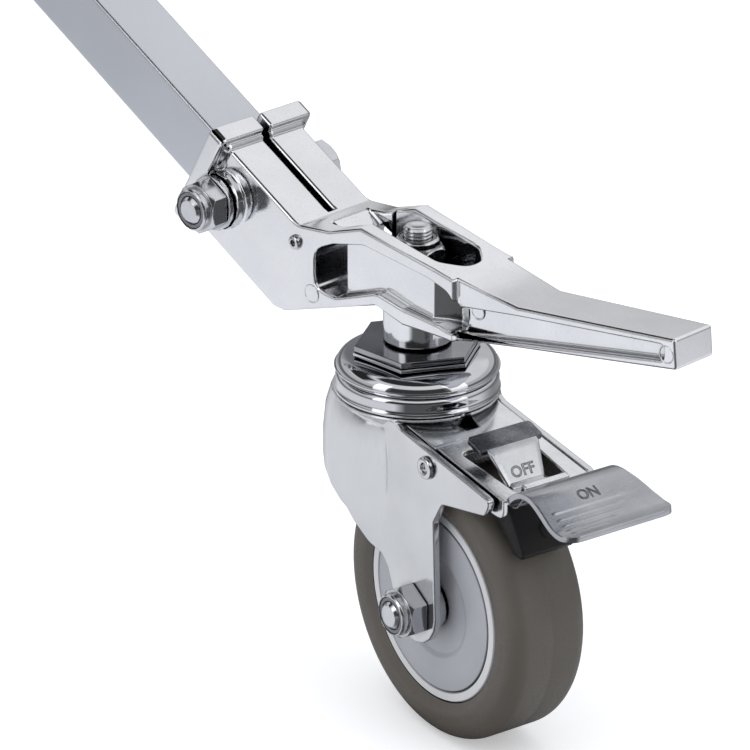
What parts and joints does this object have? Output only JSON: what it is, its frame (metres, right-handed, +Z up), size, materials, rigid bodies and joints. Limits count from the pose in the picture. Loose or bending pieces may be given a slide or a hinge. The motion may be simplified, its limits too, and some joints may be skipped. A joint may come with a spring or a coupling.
{
  "type": "roller stand leg end with braked swivel caster",
  "caption": "Square leg tube in a slotted cast clamp foot, bolted through a hexagonal lock plate and ball race to a braked swivel caster.",
  "frame": {"origin": "centre of the leg tube's open inner end, where the stand's hub carries the leg", "axes": "+X outward along the leg towards the nose of the foot, +Z up, +Y across the leg"},
  "size_m": [0.3512, 0.0724, 0.2633],
  "materials": {
    "tube_satin_chrome": "satin",
    "cast_light_alloy": "satin",
    "bright_zinc": "satin",
    "mirror_chrome": "polished",
    "hidden_steel": "ground",
    "tyre_rubber": "matt",
    "rim_grey": "matt",
    "cover_blue_grey": "matt",
    "shoe_black": "matt",
    "insert_nylon": "matt",
    "pedal_grey": "satin"
  },
  "bodies": {
    "leg": {"leg_tube": "tube_satin_chrome", "foot_casting": "cast_light_alloy", "side_screw": "bright_zinc", "clamp_bolt": "bright_zinc", "clamp_washer_far": "bright_zinc", "clamp_washer_near": "bright_zinc", "clamp_nut": "bright_zinc", "clamp_nut_insert": "insert_nylon", "kingpin": "bright_zinc", "stem_washer": "bright_zinc", "stem_nut": "bright_zinc", "stem_nut_insert": "insert_nylon", "hex_plate": "mirror_chrome", "lock_plate": "mirror_chrome", "race_cup": "mirror_chrome", "kingpin_spacer": "hidden_steel", "lower_race": "hidden_steel"},
    "swivel_fork": {"fork": "bright_zinc", "upper_balls": "hidden_steel", "lower_balls": "hidden_steel", "lock_spring": "hidden_steel", "spring_rivet": "hidden_steel", "axle_bolt": "bright_zinc", "axle_nut": "bright_zinc", "axle_nut_insert": "insert_nylon", "axle_sleeve": "hidden_steel", "axle_spacer_near": "bright_zinc", "axle_spacer_far": "bright_zinc", "bearing_inner_near": "hidden_steel", "bearing_inner_far": "hidden_steel", "brake_pin": "bright_zinc"},
    "wheel": {"tyre": "tyre_rubber", "wheel_rim": "rim_grey", "hub_cover_near": "cover_blue_grey", "hub_cover_far": "cover_blue_grey", "bearing_outer_near": "hidden_steel", "bearing_outer_far": "hidden_steel", "bearing_balls_near": "hidden_steel", "bearing_balls_far": "hidden_steel"},
    "brake": {"brake_lever": "bright_zinc", "cam_roller": "hidden_steel", "brake_pedal": "pedal_grey", "brake_shoe": "shoe_black", "tab_pin": "bright_zinc"},
    "release": {"release_tab": "bright_zinc"}
  },
  "joints": [
    {"name": "swivel", "type": "hinge", "parent": "leg", "child": "swivel_fork", "pos_m": [0.22058, 0, -0.12], "axis": [0, 0, 1], "continuous": true},
    {"name": "wheel_spin", "type": "hinge", "parent": "swivel_fork", "child": "wheel", "pos_m": [0.24971, -0.00527, -0.20294], "axis": [0.1781, 0.984, 0], "continuous": true},
    {"name": "brake_swing", "type": "hinge", "parent": "swivel_fork", "child": "brake", "pos_m": [0.25729, -0.00664, -0.14686], "axis": [-0.1781, -0.984, 0], "range_deg": [0, 12]},
    {"name": "tab_swing", "type": "hinge", "parent": "brake", "child": "release", "pos_m": [0.28208, -0.01113, -0.15044], "axis": [-0.1781, -0.984, 0], "range_deg": [0, 12]}
  ],
  "couplings": [
    {"joint": "tab_swing", "follows": "brake_swing", "ratio": 1}
  ]
}
